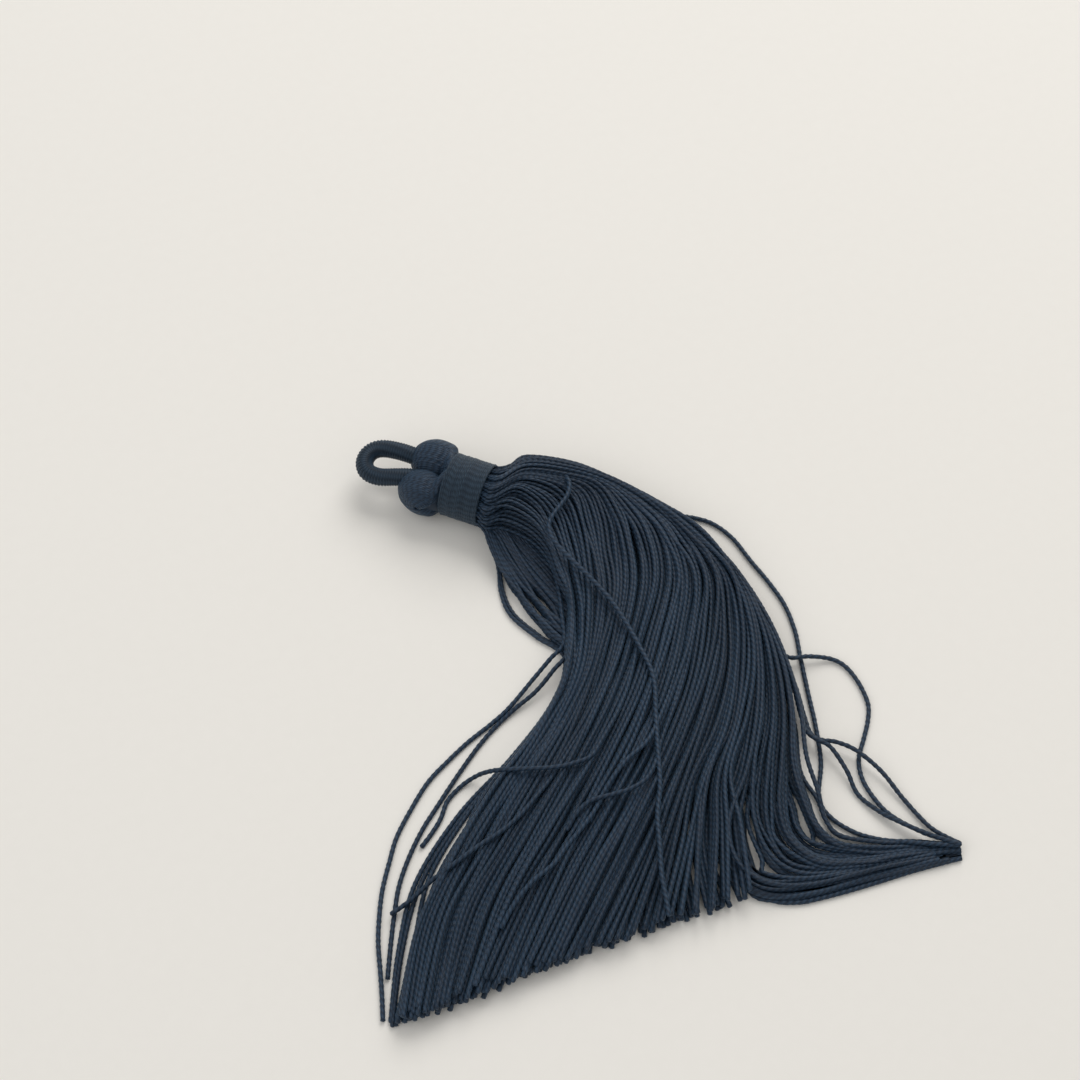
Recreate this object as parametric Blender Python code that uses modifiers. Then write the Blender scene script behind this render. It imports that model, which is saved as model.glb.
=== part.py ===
"""A thread tassel that lies on its side on a flat surface, at real size.

Three pieces: the skein, whose folded turns form the head and whose cut turns form the fringe, the
binding wound round its neck, and the wound cord loop that it hangs by. Metres, +Z up, +Y from the
ends of the fringe towards the loop, and the origin on the surface under the middle of the tassel.
"""

import math

import bmesh
import bpy
from mathutils import Matrix, Vector

MM = 0.001
CLEARANCE = 0.3  # mm between neighbouring pieces

# All plan points below are millimetres in a plan view of the tassel, and this one is over the origin.
PLAN_CENTRE = (-0.27, 26.19)

# Neck and its binding, mm. The neck's axis runs level from the head towards the fringe.
NECK_START = (-3.85, 47.6)
NECK_ANGLE = -41.3  # degrees from +X
NECK_HEIGHT = 2.72
NECK_RADIUS = 2.15
WRAP_LENGTH = 3.9
WRAP_TURNS = 9
WRAP_RADIUS = 2.92
WRAP_GROOVE = 0.14
WRAP_SIDES = 28
NECK_NOSE = ((1, -0.7), (0.88, -1.5), (0.55, -2.2), (0, -2.5))  # share of the radius, mm along the neck
SHOULDER_RADIUS = 2.68
SHOULDER_END = 4.95  # mm along the neck from the binding's start
CORE_SIDES = 24

# Head: lobes of folded thread, mm. Places are along and across the neck's axis from the neck's start.
# name, along, across, half length, half width, half height, height of the middle
LOBES = (
    ("upper", -1.75, 1.72, 2.6, 2.3, 2.5, 2.72),
    ("lower", -1.75, -1.72, 2.5, 2.05, 2.3, 2.55),
)
LOBE_SEGMENTS = 18
LOBE_RINGS = 14
LOBE_RIDGE = 0.045  # share of the lobe's size by which each second turn of thread stands proud

# Hanging loop, mm: the middle of the wound cord, from one leg's end to the other's, as x, y, z.
LOOP_RADIUS = 0.83
LOOP_GROOVE = 0.07  # share of the radius
LOOP_STEP = 0.36
LOOP_ROUTE = (
    (-4.6, 49.9, 2.9),
    (-5.7, 51.0, 3.15),
    (-7.1, 52.25, 3.15),
    (-8.5, 53.15, 3.0),
    (-9.6, 53.1, 2.9),
    (-10.35, 52.3, 2.85),
    (-10.4, 51.2, 2.85),
    (-9.6, 50.3, 2.9),
    (-8.3, 49.7, 3.05),
    (-7.0, 49.1, 3.2),
    (-5.8, 48.4, 3.1),
    (-4.9, 47.8, 2.95),
)

# Strands, mm. They are three-sided, with the flat side down.
STRAND_WIDTH = 0.56
STRAND_HEIGHT = 0.4
LAYER_RISE = 0.47
ROOT_DEPTH = 0.3  # how far a root reaches into the neck
ROOT_STAND = 0.25  # how far from the neck's end the first section lies
GOLDEN = (math.sqrt(5) - 1) / 2  # spaces the strands evenly in the round bundle at the neck
BUNDLE_SHIFT = 0.35  # where that spacing starts

# Layers of strands from the floor up: name, number of strands, share of the width left bare at each
# edge, and which course they follow.
LAYERS = (
    ("floor", 21, 0.0, "under"),
    ("second", 20, 0.02, "under"),
    ("third", 19, 0.045, "over"),
    ("fourth", 17, 0.085, "over"),
    ("top", 15, 0.13, "over"),
)
MIDDLE = 0.4  # share of a layer's strands that lie left of the middle course

# Sections across the fringe, from the neck to the cut ends. Each gives plan points on the left edge
# and the middle of the under course, on the left edge and the middle of the over course, and on the
# right edge that both share, then the bundle's lowest point and height, how far its strands have
# settled into layers, and the strands' size against STRAND_WIDTH.
SECTIONS = (
    # name, under left, under middle, over left, over middle, right, low, height, settled, size
    ("neck", (-1.82, 42.48), (-0.5, 43.98), (-1.82, 42.48), (-0.5, 43.98), (1.48, 46.24),
     0.25, 4.9, 0.0, 0.44),
    ("flare", (-2.45, 40.9), (0.7, 42.3), (-1.1, 41.3), (1.6, 43.4), (3.7, 47.0), 0.1, 4.4, 0.3, 0.55),
    ("bend", (-2.5, 38.8), (1.7, 39.9), (0.0, 39.4), (3.6, 41.3), (7.1, 45.6), 0.0, 3.8, 0.65, 0.72),
    ("shoulder", (-2.3, 36.5), (2.8, 37.2), (1.0, 36.9), (5.1, 38.6), (10.3, 43.1), 0.0, 3.3, 1.0, 0.84),
    ("breast", (-1.7, 34.0), (3.8, 34.3), (1.4, 34.2), (5.9, 35.4), (13.2, 39.5), 0.0, 3.0, 1.0, 0.93),
    ("fold", (-0.9, 31.2), (5.2, 31.2), (1.3, 31.6), (6.8, 32.0), (15.6, 35.0), 0.0, 2.7, 1.0, 1.0),
    ("waist", (0.2, 28.2), (6.3, 27.9), (0.4, 28.6), (6.4, 28.4), (17.1, 30.2), 0.0, 2.5, 1.0, 1.0),
    ("belly", (-2.4, 24.4), (5.1, 24.2), (-2.4, 24.4), (5.1, 24.6), (17.8, 25.2), 0.0, 2.35, 1.0, 1.0),
    ("spread", (-7.2, 20.7), (1.9, 20.4), (-7.2, 20.7), (1.8, 20.7), (17.8, 20.4), 0.0, 2.35, 1.0, 1.0),
    ("skirt", (-12.0, 16.9), (-2.2, 16.4), (-12.0, 16.9), (-2.4, 16.6), (17.2, 15.6), 0.0, 2.35, 1.0, 1.0),
    ("hem", (-16.8, 12.4), (-5.7, 12.0), (-16.8, 12.4), (-6.0, 12.2), (15.9, 11.2), 0.0, 2.35, 1.0, 1.0),
    ("low", (-20.7, 7.4), (-9.3, 7.2), (-20.7, 7.4), (-9.6, 7.3), (16.3, 7.0), 0.0, 2.35, 1.0, 1.0),
    ("ends", (-23.5, 1.2), (-13.2, 1.2), (-23.5, 1.2), (-13.4, 1.2), (20.0, 1.2), 0.0, 2.35, 1.0, 1.0),
)
END_RAGGED = 0.22  # the most that a cut end falls short, in sections

# The strands at the right edge turn along the foot of the fringe: plan points on the inner and the
# outer side of that corner bundle, one row for each section from the one named FAN_START on.
FAN_SHARE = 0.83  # strands that lie further right than this share of the width
FAN_START = 10
FAN = (
    # name, inner, outer
    ("mouth", (9.9, 11.6), (15.9, 11.2)),
    ("turn", (9.4, 8.0), (14.9, 7.4)),
    ("heel", (9.2, 4.8), (15.3, 5.2)),
    ("sole", (10.5, 2.5), (17.0, 3.9)),
    ("arch", (13.6, 1.3), (19.2, 3.2)),
    ("ball", (18.2, 0.2), (21.5, 2.6)),
    ("toe", (22.9, -0.5), (24.2, 1.9)),
)

# Strands that bow out of the edge and come back: layer, place in it, first and last section, mm to the right.
BOWS = (
    ("left_wide", 0, 0, 2.2, 6.2, -1.1),
    ("left_close", 0, 1, 2.8, 5.8, -0.9),
    ("left_low", 0, 0, 8.3, 11.4, -1.0),
    ("right_high", 1, -1, 4.2, 6.4, 0.9),
    ("right_low", 0, -2, 6.7, 8.9, 1.1),
)

# Strands that leave the bundle: layer and place in it, the last section followed, and then plan points
# with their height in layers.
LOOSE = (
    ("right_long", 0, -1, 4, (
        (14.8, 38.9, 0), (16.5, 38.0, 0), (17.8, 36.8, 0), (18.8, 34.8, 0), (19.4, 32.0, 0), (20.0, 29.5, 0),
        (20.4, 26.8, 0), (20.2, 24.0, 0), (19.6, 21.5, 0), (18.9, 18.5, 0), (18.4, 15.8, 0), (17.6, 13.0, 0),
        (16.8, 10.5, 0), (16.0, 8.0, 0), (16.5, 6.2, 0), (17.7, 4.9, 0), (19.5, 4.1, 0), (21.4, 3.4, 0))),
    ("right_ring", 1, -1, 7, (
        (17.6, 22.6, 1.2), (18.5, 21.4, 1.3), (20.2, 21.0, 1.0), (22.0, 20.3, 0.2), (22.9, 19.2, 0),
        (23.3, 17.6, 0), (23.2, 15.9, 0), (22.6, 14.2, 0), (21.5, 12.4, 0), (20.3, 10.8, 0), (19.8, 9.2, 0),
        (19.8, 7.5, 0.3), (20.6, 5.8, 1.2), (21.8, 4.2, 1.2), (23.2, 2.9, 0.6))),
    ("right_arc", 2, -1, 9, (
        (15.8, 14.0, 2.3), (17.0, 13.4, 2.1), (18.3, 12.8, 1.6), (19.6, 11.7, 1.4), (20.8, 10.2, 1.3),
        (21.6, 8.2, 0.3), (22.3, 6.0, 0), (23.1, 4.2, 0), (24.2, 2.8, 0))),
    ("right_stem", 3, -1, 9, (
        (14.2, 13.6, 3.1), (15.8, 12.6, 3.0), (17.1, 11.9, 2.2), (18.1, 10.8, 1.1), (18.7, 9.4, 0.2),
        (18.8, 8.1, 0), (18.7, 6.8, 0.6), (19.2, 5.4, 1.3), (20.3, 4.2, 1.4), (21.9, 3.0, 1.3))),
    ("left_outer", 2, 0, 5, (
        (0.5, 29.2, 2.2), (-1.1, 28.2, 1.9), (-3.1, 27.0, 1.1), (-6.0, 25.2, 0.3), (-8.2, 24.2, 0),
        (-10.4, 23.3, 0), (-12.7, 22.1, 0), (-14.7, 20.9, 0), (-16.7, 19.1, 0), (-18.7, 17.0, 0),
        (-20.1, 15.0, 0), (-21.5, 12.8, 0), (-22.6, 10.5, 0), (-23.4, 8.5, 0), (-24.0, 6.0, 0),
        (-24.4, 3.5, 0), (-24.7, 1.6, 0))),
    ("left_inner", 3, 0, 5, (
        (0.9, 28.4, 3.2), (-1.3, 26.9, 2.4), (-3.4, 25.7, 1.2), (-5.6, 24.6, 0.4), (-7.7, 23.6, 0),
        (-9.7, 22.4, 0), (-12.1, 20.6, 0), (-14.6, 18.5, 0), (-16.6, 16.6, 0), (-18.4, 14.7, 0),
        (-19.9, 12.8, 0), (-21.0, 10.8, 0), (-22.0, 8.3, 0), (-22.9, 6.3, 0), (-23.5, 4.6, 0))),
    ("left_curl", 4, 4, 8, (
        (-1.2, 19.3, 4.9), (-2.6, 18.5, 5.3), (-4.4, 18.5, 5.5), (-6.2, 19.1, 5.6), (-7.6, 19.7, 4.9),
        (-9.3, 20.1, 2.6), (-10.8, 20.0, 0.5), (-12.2, 19.6, 0), (-13.6, 18.7, 0), (-14.8, 17.3, 0),
        (-16.6, 15.7, 0))),
    ("left_cross", 4, 0, 8, (
        (-6.6, 18.6, 4.0), (-8.3, 16.9, 4.0), (-10.5, 15.1, 4.0), (-13.0, 13.8, 4.0), (-15.5, 12.9, 3.6),
        (-17.6, 12.0, 2.2), (-19.4, 11.2, 1.2), (-21.0, 10.4, 0.9))),
    ("long_cross", 4, 2, 3, (
        (4.1, 36.4, 6.3), (4.8, 34.5, 6.3), (5.5, 32.9, 6.0), (5.9, 31.2, 5.7), (6.2, 29.0, 5.4),
        (6.4, 26.0, 5.1), (6.2, 22.0, 5.1), (5.0, 19.0, 5.1), (4.0, 16.0, 5.1), (3.0, 13.0, 5.1),
        (1.8, 10.5, 5.1), (1.0, 8.0, 5.1), (0.2, 5.5, 5.1), (-0.2, 3.5, 5.1), (-0.5, 2.3, 5.1))),
    ("short_cross", 4, 8, 9, (
        (1.0, 15.0, 4.9), (-0.4, 14.5, 5.2), (-2.0, 14.3, 5.2), (-3.6, 13.7, 5.2))),
    ("short_low", 4, 7, 10, (
        (-4.6, 9.6, 4.8), (-6.2, 8.4, 5.2), (-8.0, 7.4, 5.2), (-10.0, 6.5, 5.1))),
    ("foot", 0, 16, 11, (
        (7.4, 3.4, 0), (8.2, 1.2, 0), (10.0, -0.2, 0), (12.8, -0.6, 0), (16.4, -0.8, 0), (20.2, -1.1, 0),
        (23.8, -1.4, 0))),
)
LOOSE_STEP = 3.2  # mm between the points of a loose strand

THREAD_BLUE = (0.021, 0.052, 0.092, 1.0)
WRAP_BLUE = (0.024, 0.058, 0.098, 1.0)
LOOP_BLUE = (0.022, 0.056, 0.094, 1.0)


def placed(x, y, z):
    """A plan point and its height, both in mm, as a place in metres."""
    return Vector(((x - PLAN_CENTRE[0]) * MM, (y - PLAN_CENTRE[1]) * MM, z * MM))


def neck_frame(along=0.0):
    """Matrix whose Z runs along the neck and whose Y is up, at a distance in mm from the binding's start."""
    angle = math.radians(NECK_ANGLE)
    forward = Vector((math.cos(angle), math.sin(angle), 0))
    up = Vector((0, 0, 1))
    side = up.cross(forward)
    turn = Matrix((side, up, forward)).transposed().to_4x4()
    start = placed(*NECK_START, NECK_HEIGHT) + forward * along * MM
    return Matrix.Translation(start) @ turn


def clear_scene():
    for obj in list(bpy.data.objects):
        bpy.data.objects.remove(obj, do_unlink=True)


def collection(name):
    made = bpy.data.collections.new(name)
    bpy.context.scene.collection.children.link(made)
    return made


def material(name, colour, roughness):
    made = bpy.data.materials.new(name)
    made.use_nodes = True
    shader = made.node_tree.nodes["Principled BSDF"]
    shader.inputs["Base Color"].default_value = colour
    shader.inputs["Roughness"].default_value = roughness
    shader.inputs["Metallic"].default_value = 0.0
    return made


def added(name, data, group, helper=False):
    obj = bpy.data.objects.new(name, data)
    group.objects.link(obj)
    if helper:
        obj.hide_render = True
        obj.display_type = "WIRE"
    return obj


def as_mesh(source, name, group, helper=False):
    """The evaluated shape of an object as a mesh in world space. The first object is removed."""
    bpy.context.view_layer.update()
    graph = bpy.context.evaluated_depsgraph_get()
    mesh = bpy.data.meshes.new_from_object(source.evaluated_get(graph))
    mesh.transform(source.matrix_world)
    shape = bmesh.new()
    shape.from_mesh(mesh)
    bmesh.ops.remove_doubles(shape, verts=shape.verts, dist=1e-7)
    bmesh.ops.recalc_face_normals(shape, faces=shape.faces)
    shape.to_mesh(mesh)
    shape.free()
    bpy.data.objects.remove(source, do_unlink=True)
    return added(name, mesh, group, helper)


def boolean(target, other, operation):
    """Joins or cuts closed meshes. The exact solver leaves open edges where the lobes' flat faces meet."""
    cut = target.modifiers.new(other.name, "BOOLEAN")
    cut.operation = operation
    cut.solver = "MANIFOLD"
    cut.object = other


def turned(name, profile, sides, group):
    """A solid turned about the neck's axis, from (radius, distance along the neck) pairs in mm."""
    mesh = bpy.data.meshes.new(name)
    points = [(radius * MM, 0, along * MM) for radius, along in profile]
    mesh.from_pydata(points, [(i, i + 1) for i in range(len(points) - 1)], [])
    obj = added(name, mesh, group)
    screw = obj.modifiers.new("Turn", "SCREW")
    screw.axis = "Z"
    screw.steps = sides
    screw.render_steps = sides
    screw.use_merge_vertices = True
    screw.merge_threshold = 1e-6
    obj.matrix_world = neck_frame()
    return obj


def smooth_path(points, step):
    """Points about a step apart on a smooth curve through the given ones, in mm."""
    dense = []
    for i in range(len(points) - 1):
        before = Vector(points[max(i - 1, 0)])
        start, end = Vector(points[i]), Vector(points[i + 1])
        after = Vector(points[min(i + 2, len(points) - 1)])
        for k in range(12):
            t = k / 12
            dense.append(0.5 * (2 * start + (end - before) * t
                                + (2 * before - 5 * start + 4 * end - after) * t ** 2
                                + (3 * start - before - 3 * end + after) * t ** 3))
    dense.append(Vector(points[-1]))
    lengths = [0.0]
    for a, b in zip(dense, dense[1:]):
        lengths.append(lengths[-1] + (b - a).length)
    count = max(2, round(lengths[-1] / step))
    path, k = [], 0
    for i in range(count + 1):
        wanted = lengths[-1] * i / count
        while k < len(dense) - 2 and lengths[k + 1] < wanted:
            k += 1
        share = (wanted - lengths[k]) / (lengths[k + 1] - lengths[k])
        path.append(dense[k].lerp(dense[k + 1], min(max(share, 0.0), 1.0)))
    return path


def section_value(column, s):
    """A column of SECTIONS at a section number that may lie between two rows."""
    i = min(max(int(s), 0), len(SECTIONS) - 2)
    rows = [SECTIONS[min(max(k, 0), len(SECTIONS) - 1)][column] for k in (i - 1, i, i + 1, i + 2)]
    t = s - i
    if not isinstance(rows[1], tuple):
        return rows[1] + (rows[2] - rows[1]) * t
    before, start, end, after = (Vector(row) for row in rows)
    return 0.5 * (2 * start + (end - before) * t + (2 * before - 5 * start + 4 * end - after) * t ** 2
                  + (3 * start - before - 3 * end + after) * t ** 3)


def across(s, share, course):
    """Plan point at a share of the fringe's width, through the section's left, middle and right."""
    first = 1 if course == "under" else 3
    left, middle, right = (section_value(column, s) for column in (first, first + 1, 5))
    return (left * (share - MIDDLE) * (share - 1) / MIDDLE
            + middle * share * (share - 1) / (MIDDLE * (MIDDLE - 1))
            + right * share * (share - MIDDLE) / (1 - MIDDLE))


def disc_share(area):
    """Place across a unit disc, -1 to 1, with the given share of the disc's area on its left."""
    low, high = -1.0, 1.0
    for _ in range(40):
        x = (low + high) / 2
        if (math.asin(x) + x * math.sqrt(1 - x * x)) / math.pi + 0.5 < area:
            low = x
        else:
            high = x
    return x


def strand_places():
    """Each strand's layer, its place in it, and its place in the round bundle at the neck."""
    total = sum(count for _, count, _, _ in LAYERS)
    bundle = []
    for i in range(total):
        x = disc_share((i + 0.5) / total)
        height = ((i + BUNDLE_SHIFT) * GOLDEN) % 1 - 0.5
        bundle.append((x, 2 * height * math.sqrt(1 - x * x)))
    bundle.sort(key=lambda place: place[1])
    places = []
    for layer, (_, count, _, _) in enumerate(LAYERS):
        members, bundle = sorted(bundle[:count]), bundle[count:]
        places += [(layer, index, x, z) for index, (x, z) in enumerate(members)]
    return places


def bundle_point(place, s):
    """Where a strand that keeps its place in the fringe lies at section s: plan x and y, and height."""
    layer, index, x, z = place
    _, count, bare, course = LAYERS[layer]
    share = bare + (1 - 2 * bare) * (index + 0.5) / count
    low, height, settled = (section_value(column, s) for column in (6, 7, 8))
    round_point = across(s, (1 + x) / 2, course)
    round_height = low + (height - STRAND_HEIGHT) * (1 + z) / 2
    point = round_point.lerp(across(s, share, course), settled)
    if share > FAN_SHARE and s > FAN_START:
        row = s - FAN_START
        i = min(int(row), len(FAN) - 2)
        inner, outer = (Vector(FAN[i][side]).lerp(Vector(FAN[i + 1][side]), row - i) for side in (1, 2))
        point = inner.lerp(outer, (share - FAN_SHARE) / (1 - FAN_SHARE))
    for _, bow_layer, bow_index, first, last, sideways in BOWS:
        if (bow_layer, bow_index % count) == (layer, index) and first < s < last:
            point = point + Vector((sideways * math.sin(math.pi * (s - first) / (last - first)) ** 2, 0))
    return Vector((*point, round_height + (layer * height / len(LAYERS) - round_height) * settled))


def strand_route(place):
    """The points of one strand, from inside the neck to its cut end, and the strand's size at each."""
    layer, index, _, _ = place
    count, bare = LAYERS[layer][1:3]
    share = bare + (1 - 2 * bare) * (index + 0.5) / count
    last, tail = len(SECTIONS) - 1 - END_RAGGED * ((7 * index + 3 * layer) * GOLDEN % 1), []
    if share > FAN_SHARE:
        last = FAN_START + len(FAN) - 1 - END_RAGGED * ((5 * index + layer) * GOLDEN % 1)
    for _, loose_layer, loose_index, leaves, points in LOOSE:
        if (loose_layer, loose_index % count) == (layer, index):
            last = leaves
            joined = [bundle_point(place, leaves)]
            joined += [Vector((px, py, level * LAYER_RISE)) for px, py, level in points]
            # The smooth curve may dip under points that lie on the floor, so its height stops there.
            path = smooth_path(joined, LOOSE_STEP)[1:]
            tail = [Vector((px, py, max(height, 0))) for px, py, height in path]
    sections = list(range(int(math.ceil(last)))) + [last]
    route = [bundle_point(place, s) for s in sections]
    sizes = [section_value(9, min(s, len(SECTIONS) - 1)) for s in sections]
    root = neck_frame().to_3x3() @ Vector((0, 0, 1))
    route.insert(0, route[0] - root * (ROOT_DEPTH + ROOT_STAND))
    sizes.insert(0, sizes[0])
    return route + tail, sizes + [1.0] * len(tail)


def strand_profile(group):
    """The three-sided section that is swept along each strand."""
    curve = bpy.data.curves.new("strand_profile", "CURVE")
    curve.dimensions = "2D"
    corners = ((-STRAND_WIDTH / 2, 0), (STRAND_WIDTH / 2, 0), (0, STRAND_HEIGHT))
    spline = curve.splines.new("POLY")
    spline.points.add(len(corners) - 1)
    for point, (x, y) in zip(spline.points, corners):
        point.co = (x * MM, y * MM, 0, 1)
    spline.use_cyclic_u = True
    return added("strand_profile", curve, group, helper=True)


def fringe(group):
    """Every strand, swept along its route."""
    profile = strand_profile(group)
    curve = bpy.data.curves.new("fringe", "CURVE")
    curve.dimensions = "3D"
    curve.twist_mode = "Z_UP"
    curve.bevel_mode = "OBJECT"
    curve.bevel_object = profile
    curve.use_fill_caps = True
    for place in strand_places():
        route, sizes = strand_route(place)
        spline = curve.splines.new("POLY")
        spline.points.add(len(route) - 1)
        for point, (x, y, z), size in zip(spline.points, route, sizes):
            point.co = (*placed(x, y, z), 1)
            point.radius = size
    return as_mesh(added("fringe", curve, group), "fringe", group, helper=True)


def lobe(row, group):
    """One lobe of the head: a rounded bundle whose turns of folded thread stand up as ridges."""
    name, along, side, half_length, half_width, half_height, middle = row
    shape = bmesh.new()
    bmesh.ops.create_uvsphere(shape, u_segments=LOBE_SEGMENTS, v_segments=LOBE_RINGS, radius=1)
    for vert in shape.verts:
        ring = round(math.acos(max(-1, min(1, vert.co.z))) / math.pi * LOBE_RINGS)
        ridge = 1 + LOBE_RIDGE * (1 if ring % 2 else -1)
        vert.co = Vector((vert.co.x * ridge, vert.co.y * ridge, vert.co.z))
    mesh = bpy.data.meshes.new("lobe_" + name)
    shape.to_mesh(mesh)
    shape.free()
    # The sphere's poles point across the neck, so that its rings run the way the folded turns do.
    poles = Matrix(((0, 0, 1), (0, 1, 0), (-1, 0, 0))).to_4x4()
    size = Matrix.Diagonal((half_width * MM, half_height * MM, half_length * MM, 1))
    drop = Matrix.Translation((side * MM, (middle - NECK_HEIGHT) * MM, 0))
    mesh.transform(neck_frame(along) @ drop @ size @ poles)
    return added("lobe_" + name, mesh, group, helper=True)


def neck_core(group):
    """The neck of the skein, with the shoulder past the binding that the strands leave."""
    shoulder = WRAP_LENGTH + CLEARANCE
    profile = ((0, SHOULDER_END), (SHOULDER_RADIUS, SHOULDER_END), (SHOULDER_RADIUS, SHOULDER_END - 0.3),
               (NECK_RADIUS, shoulder), *((NECK_RADIUS * size, along) for size, along in NECK_NOSE))
    return as_mesh(turned("neck_core", profile, CORE_SIDES, group), "skein", group)


def binding_space(group):
    """Cutter that keeps the lobes clear of the binding."""
    outer = WRAP_RADIUS + 3
    profile = ((0, WRAP_LENGTH), (outer, WRAP_LENGTH), (outer, -CLEARANCE), (0, -CLEARANCE))
    return as_mesh(turned("binding_space", profile, CORE_SIDES, group), "binding_space", group, helper=True)


def cord(name, radius, groove, extend, group):
    """The loop's cord as a tube, with every second point drawn in as the wound thread's groove."""
    route = smooth_path(LOOP_ROUTE, LOOP_STEP)
    route[0] += (route[0] - route[1]).normalized() * extend
    route[-1] += (route[-1] - route[-2]).normalized() * extend
    curve = bpy.data.curves.new(name, "CURVE")
    curve.dimensions = "3D"
    curve.bevel_depth = radius * MM
    curve.bevel_resolution = 2
    curve.use_fill_caps = True
    spline = curve.splines.new("POLY")
    spline.points.add(len(route) - 1)
    for i, (point, place) in enumerate(zip(spline.points, route)):
        point.co = (*placed(*place), 1)
        point.radius = 1 - groove * (i % 2)
    return added(name, curve, group)


def skein(parts, cutters, look):
    """Head, neck and fringe as one solid."""
    body = neck_core(parts)
    binding = binding_space(cutters)
    for row in LOBES:
        bulge = lobe(row, cutters)
        boolean(bulge, binding, "DIFFERENCE")
        boolean(body, bulge, "UNION")
    space = cord("loop_space", LOOP_RADIUS + CLEARANCE, 0, CLEARANCE, cutters)
    boolean(body, as_mesh(space, "loop_space", cutters, helper=True), "DIFFERENCE")
    boolean(body, fringe(cutters), "UNION")
    body.data.materials.append(look)
    return body


def neck_wrap(parts, look):
    """The binding: a sleeve of wound turns, pressed flat where it lies on the floor."""
    step = WRAP_LENGTH / (2 * WRAP_TURNS)
    inner = NECK_RADIUS + CLEARANCE
    ridges = [(WRAP_RADIUS - WRAP_GROOVE * (i % 2 == 0), i * step) for i in range(2 * WRAP_TURNS + 1)]
    profile = [(inner, WRAP_LENGTH), *reversed(ridges), (inner, 0), (inner, WRAP_LENGTH)]
    sleeve = as_mesh(turned("neck_wrap", profile, WRAP_SIDES, parts), "neck_wrap", parts)
    for vert in sleeve.data.vertices:
        vert.co.z = max(vert.co.z, 0.0)
    sleeve.data.materials.append(look)
    return sleeve


def hanging_loop(parts, look):
    loop = as_mesh(cord("hanging_loop", LOOP_RADIUS, LOOP_GROOVE, 0, parts), "hanging_loop", parts)
    loop.data.materials.append(look)
    loop.data.shade_smooth()
    return loop


def build():
    clear_scene()
    parts, cutters = collection("tassel"), collection("cutters")
    skein(parts, cutters, material("skein_thread", THREAD_BLUE, 0.45))
    neck_wrap(parts, material("wrap_thread", WRAP_BLUE, 0.5))
    hanging_loop(parts, material("loop_thread", LOOP_BLUE, 0.5))


build()
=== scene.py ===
"""Looks of the thread tassel: every thread of the fringe and head as a twisted yarn, the fine turns of
the binding and of the loop's cord, silky thread materials, a pale floor, soft light and the camera.
Lengths in the tables are millimetres in a plan view, and placed() turns them into the frame's metres.
"""

import math

import bpy
import numpy as np
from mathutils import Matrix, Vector


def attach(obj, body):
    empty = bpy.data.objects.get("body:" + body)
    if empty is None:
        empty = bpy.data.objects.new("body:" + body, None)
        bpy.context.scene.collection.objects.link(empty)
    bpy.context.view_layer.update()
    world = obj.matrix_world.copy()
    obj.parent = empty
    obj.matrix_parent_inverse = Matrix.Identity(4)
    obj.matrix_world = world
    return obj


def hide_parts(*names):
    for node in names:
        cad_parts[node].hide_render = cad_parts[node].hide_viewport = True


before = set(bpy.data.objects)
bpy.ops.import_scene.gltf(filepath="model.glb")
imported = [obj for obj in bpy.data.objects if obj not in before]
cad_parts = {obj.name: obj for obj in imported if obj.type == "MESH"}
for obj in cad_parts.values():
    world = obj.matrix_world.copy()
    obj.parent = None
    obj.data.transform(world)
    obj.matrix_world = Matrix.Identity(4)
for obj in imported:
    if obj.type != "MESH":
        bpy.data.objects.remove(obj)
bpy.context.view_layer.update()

MM = 0.001
PLAN_CENTRE = np.array((-0.27, 26.19, 0.0))  # the plan point that lies over the origin
FLOOR_SIZE = 1.6  # m

# Neck, binding and head, as in the solids.
NECK_START = (-3.85, 47.6)
NECK_ANGLE = math.radians(-41.3)
NECK_HEIGHT = 2.72
WRAP_LENGTH = 3.9
WRAP_RADIUS = 2.92
WRAP_TURNS = 21
WRAP_THREAD = 0.14  # radius of the binding's thread
WRAP_STEPS = 44  # points in each turn

# name, along and across the neck from its start, half length, half width, half height, middle height
LOBES = (
    ("upper", -1.7, 1.62, 2.45, 1.95, 2.25, 2.72),
    ("lower", -1.7, -1.62, 2.35, 1.8, 2.1, 2.5),
)
LOBE_THREADS = 31
LOBE_THREAD = 0.17
LOBE_SPREAD = math.radians(80)  # how far round the lobe the folded threads reach on each side
LOBE_POINTS = 11
GATHERED = 2.5  # radius to which the folded threads are drawn in at the binding

# Hanging loop: the middle of its cord as x, y, z, as in the solids.
LOOP_RADIUS = 0.83
LOOP_PITCH = 0.24
LOOP_THREAD = 0.2
LOOP_STEPS = 16
LOOP_ROUTE = (
    (-4.6, 49.9, 2.9), (-5.7, 51.0, 3.15), (-7.1, 52.25, 3.15), (-8.5, 53.15, 3.0), (-9.6, 53.1, 2.9),
    (-10.35, 52.3, 2.85), (-10.4, 51.2, 2.85), (-9.6, 50.3, 2.9), (-8.3, 49.7, 3.05), (-7.0, 49.1, 3.2),
    (-5.8, 48.4, 3.1), (-4.9, 47.8, 2.95),
)

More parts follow.
